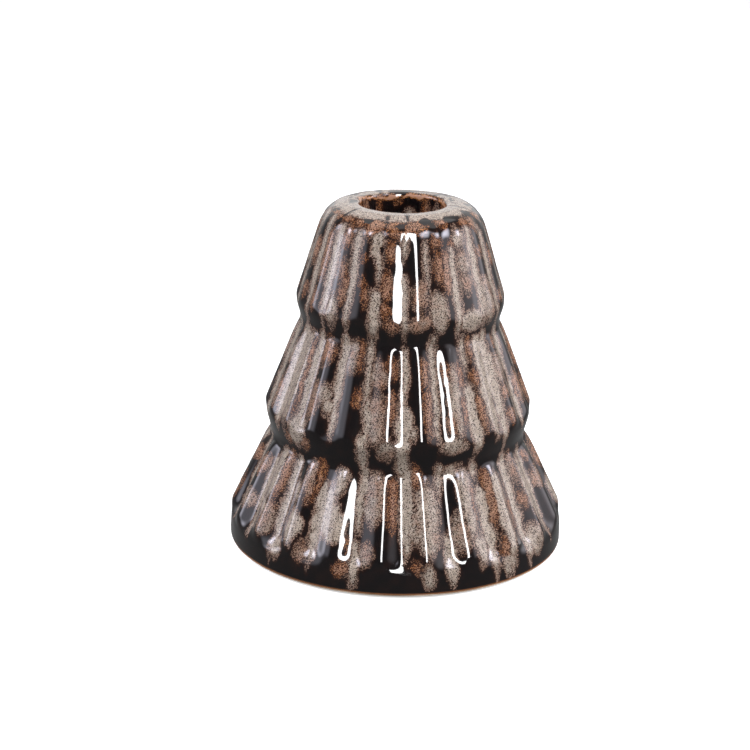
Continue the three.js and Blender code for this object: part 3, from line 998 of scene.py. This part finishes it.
def combined(tree, operation, first, second):
    """A node that combines two values, the second of which may be a number."""
    made = tree.nodes.new("ShaderNodeMath")
    made.operation = operation
    tree.links.new(first, made.inputs[0])
    if isinstance(second, bpy.types.NodeSocket):
        tree.links.new(second, made.inputs[1])
    else:
        made.inputs[1].default_value = second
    return made.outputs[0]


# ---------------- camera and light

# Camera: millimetres from the axis and above the foot's plane, and angles in radians
CAMERA_DISTANCE = 502.3
CAMERA_HEIGHT = 210.1
CAMERA_PAN = -0.0127
CAMERA_PITCH = 0.3177
CAMERA_ROLL = 0.0200
CAMERA_FOCAL_SHARE = 1950.65 / 750  # focal length over the frame's width
SENSOR = 36.0
CLIP_START = 0.01

# Strength of the white world: dim in front of the object and below it, and bright behind it
FRONT_STRENGTH = 0.10
BACKDROP_STRENGTH = 0.9
BACKDROP_START = (0.30, 0.95)  # between these directions' shares of +Y
BELOW_STRENGTH = 0.17
HORIZON = (-0.10, 0.10)  # the same for +Z, between below and above
COOL = (0.88, 0.87, 1.0)
MILD = (0.96, 0.91, 0.98)


def make_camera():
    """The photo's camera, from the fit to the holder's silhouette."""
    data = bpy.data.cameras.new("camera")
    data.sensor_width = SENSOR
    data.lens = SENSOR * CAMERA_FOCAL_SHARE
    data.clip_start = CLIP_START
    camera = in_scene("camera", data)
    ahead = Vector((
        math.sin(CAMERA_PAN) * math.cos(CAMERA_PITCH),
        math.cos(CAMERA_PAN) * math.cos(CAMERA_PITCH),
        -math.sin(CAMERA_PITCH),
    ))
    level = Vector((math.cos(CAMERA_PAN), -math.sin(CAMERA_PAN), 0))
    over = level.cross(ahead)
    right = math.cos(CAMERA_ROLL) * level + math.sin(CAMERA_ROLL) * over
    up = -math.sin(CAMERA_ROLL) * level + math.cos(CAMERA_ROLL) * over
    turn = Matrix((right, up, -ahead)).transposed().to_4x4()
    place = Vector((0, -CAMERA_DISTANCE, CAMERA_HEIGHT + FOOT_CLEARANCE)) * MM
    camera.matrix_world = Matrix.Translation(place) @ turn
    bpy.context.scene.camera = camera


def softbox(name, azimuth, elevation, distance, width, height, radiance, tint=(1, 1, 1), softness=0.0):
    """A rectangular lamp that faces the object. Azimuth 0 is at the front and 90 at +X, in degrees.

    Lengths are in metres. softness is the share of each half side over which the lamp fades out.
    """
    data = bpy.data.lights.new(name, "AREA")
    data.shape = "RECTANGLE"
    data.size = width
    data.size_y = height
    data.energy = radiance * math.pi * width * height
    data.color = tint
    if softness:
        fade_edges(data, softness)
    lamp = in_scene(name, data)
    around = math.radians(azimuth)
    rise = math.radians(elevation)
    level = math.cos(rise)
    out = Vector((math.sin(around) * level, -math.cos(around) * level, math.sin(rise)))
    target = Vector((0, 0, BODY_HEIGHT / 2 * MM))
    turn = out.to_track_quat("Z", "Y").to_matrix().to_4x4()
    lamp.matrix_world = Matrix.Translation(target + out * distance) @ turn
    return lamp


def fade_edges(light, softness):
    """Multiplies a rectangular lamp's emission by a smooth fall to 0 at its edges."""
    light.use_nodes = True
    tree = light.node_tree
    place = tree.nodes.new("ShaderNodeNewGeometry")
    parts = tree.nodes.new("ShaderNodeSeparateXYZ")
    tree.links.new(place.outputs["Parametric"], parts.inputs[0])
    falls = []
    for axis in ("X", "Y"):
        from_edge = combined(tree, "PINGPONG", parts.outputs[axis], 0.5)
        falls.append(ramp(tree, from_edge, (0, softness / 2), smooth=True))
    tree.links.new(combined(tree, "MULTIPLY", *falls), tree.nodes["Emission"].inputs["Strength"])


def make_world():
    """White behind the object and dim in front of it, as before a white backdrop. White to the camera."""
    world = bpy.data.worlds.new("studio")
    world.use_nodes = True
    tree = world.node_tree
    background = tree.nodes["Background"]
    background.inputs["Color"].default_value = (1, 1, 1, 1)
    place = tree.nodes.new("ShaderNodeTexCoord")
    parts = tree.nodes.new("ShaderNodeSeparateXYZ")
    tree.links.new(place.outputs["Generated"], parts.inputs[0])
    strengths = (FRONT_STRENGTH, BACKDROP_STRENGTH)
    behind = ramp(tree, parts.outputs["Y"], BACKDROP_START, strengths, smooth=True)
    above = ramp(tree, parts.outputs["Z"], HORIZON, smooth=True)
    lit = tree.nodes.new("ShaderNodeMix")
    lit.inputs["A"].default_value = BELOW_STRENGTH
    tree.links.new(above, lit.inputs["Factor"])
    tree.links.new(behind, lit.inputs["B"])
    path = tree.nodes.new("ShaderNodeLightPath")
    strength = combined(tree, "MAXIMUM", path.outputs["Is Camera Ray"], lit.outputs[0])
    tree.links.new(strength, background.inputs["Strength"])
    bpy.context.scene.world = world


def make_light():
    """Lamps for the glaze's highlights, and washes that light its colours but give no highlights."""
    make_world()
    strip = softbox("front_strip", 13, 29, 0.9, 0.16, 0.69, 30)
    strip.visible_diffuse = False
    for wash in (
        softbox("front_fill", 0, 38, 1.2, 1.2, 0.8, 1.8),
        softbox("right_wash", 66, 26, 1.2, 1.2, 1.0, 3.1),
        softbox("left_wash", -70, 26, 1.2, 1.2, 1.0, 1.5),
    ):
        wash.visible_glossy = False
    for side, name in ((-1, "left"), (1, "right")):
        softbox(f"{name}_key", side * 50, 42, 1.0, 0.50, 0.38, 18, COOL, softness=1.0)
        softbox(f"{name}_high", side * 86, 31, 1.0, 0.60, 0.40, 17, COOL, softness=1.0)
    softbox("left_fill", -76, 14, 1.0, 1.20, 0.9, 1.6, COOL, softness=0.8)
    softbox("left_low", -98, 6, 1.0, 0.50, 0.6, 5.0, COOL, softness=1.0)
    softbox("right_fill", 74, 16, 1.0, 1.30, 0.9, 1.5, MILD, softness=0.8)
    softbox("right_back", 108, 10, 1.0, 0.80, 0.9, 2.6, MILD, softness=1.0)
    softbox("top_panel", 170, 80, 1.1, 1.2, 1.2, 1.15)
    bpy.context.scene.view_settings.view_transform = "Standard"


# ---------------- whole scene

make_camera()
make_light()
make_stage()
glaze_coat = glaze_material()
bare_clay = clay_material()
pressed_felt = felt_material()
make_holder(glaze_coat, bare_clay)
make_disc(bare_clay)
for pad_number in range(1, 5):
    make_felt_pad(pad_number, pressed_felt)
